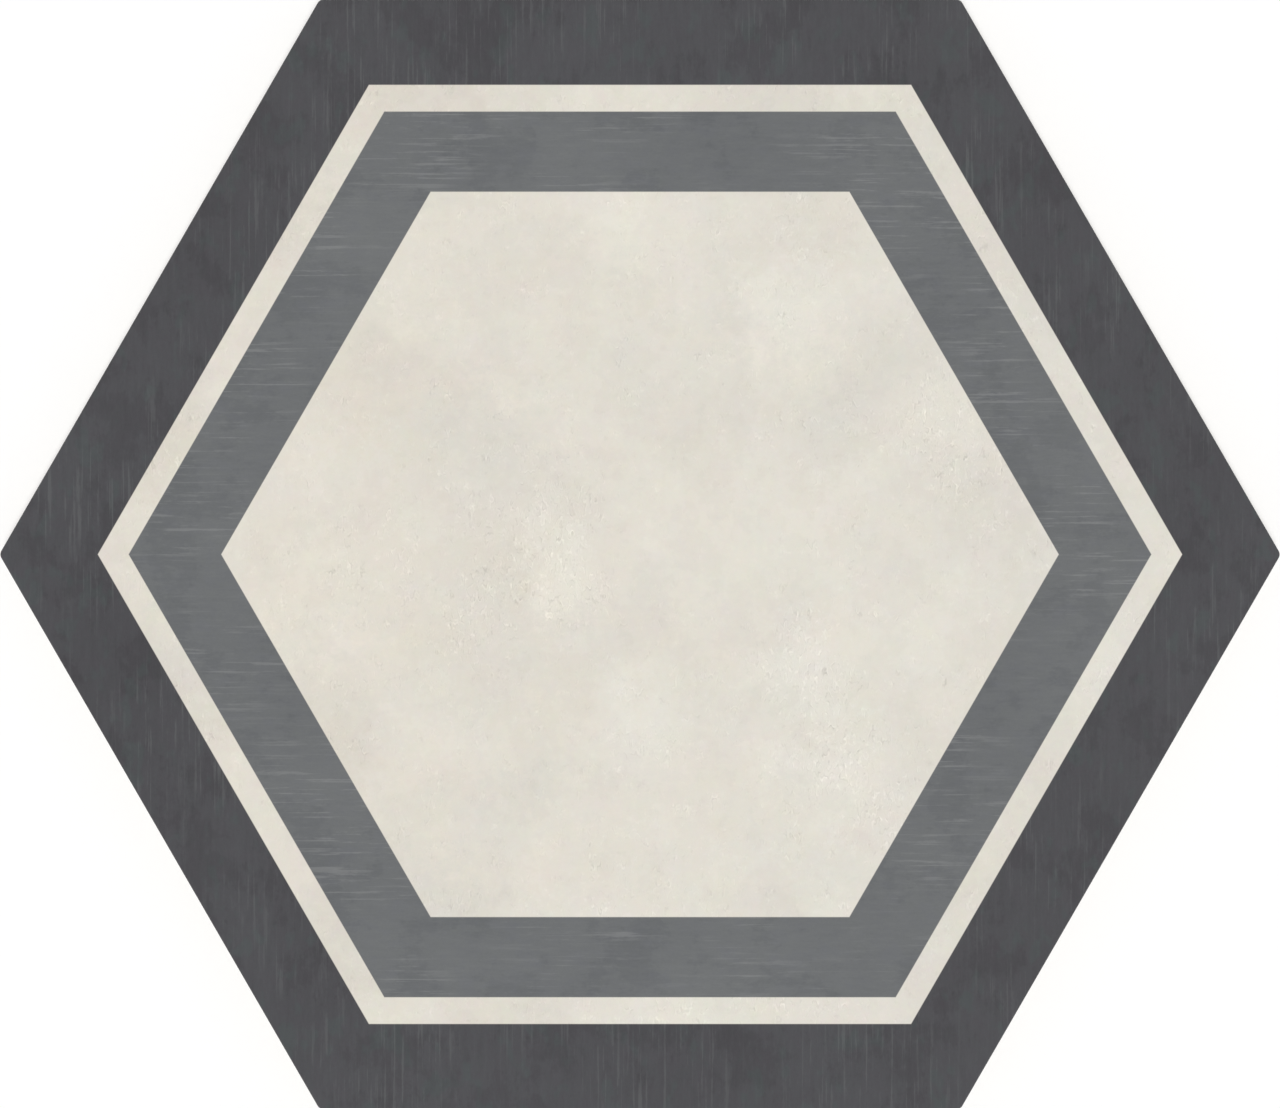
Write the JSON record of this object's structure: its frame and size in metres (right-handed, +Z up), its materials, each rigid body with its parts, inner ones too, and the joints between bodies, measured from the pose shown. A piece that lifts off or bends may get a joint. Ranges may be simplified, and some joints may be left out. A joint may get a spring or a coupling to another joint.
{
  "type": "hexagon floor tile",
  "caption": "Regular hexagon floor tile with a flat matt face printed in nested hexagon bands round a pale field, square edges, a drafted skirt and a back keyed with shallow honeycomb cells.",
  "frame": {"origin": "middle of the back, in the plane of the bed that the tile lies on", "axes": "+Z up through the face, +X towards a corner, Y across two opposite flats"},
  "size_m": [0.1996, 0.1732, 0.009],
  "materials": {
    "porcelain": "matt printed glaze on the face in charcoal, cream and grey bands round a cream field, bare fired body on the edges and back"
  },
  "bodies": {
    "root": {"hexagon_tile": "porcelain"}
  },
  "joints": []
}
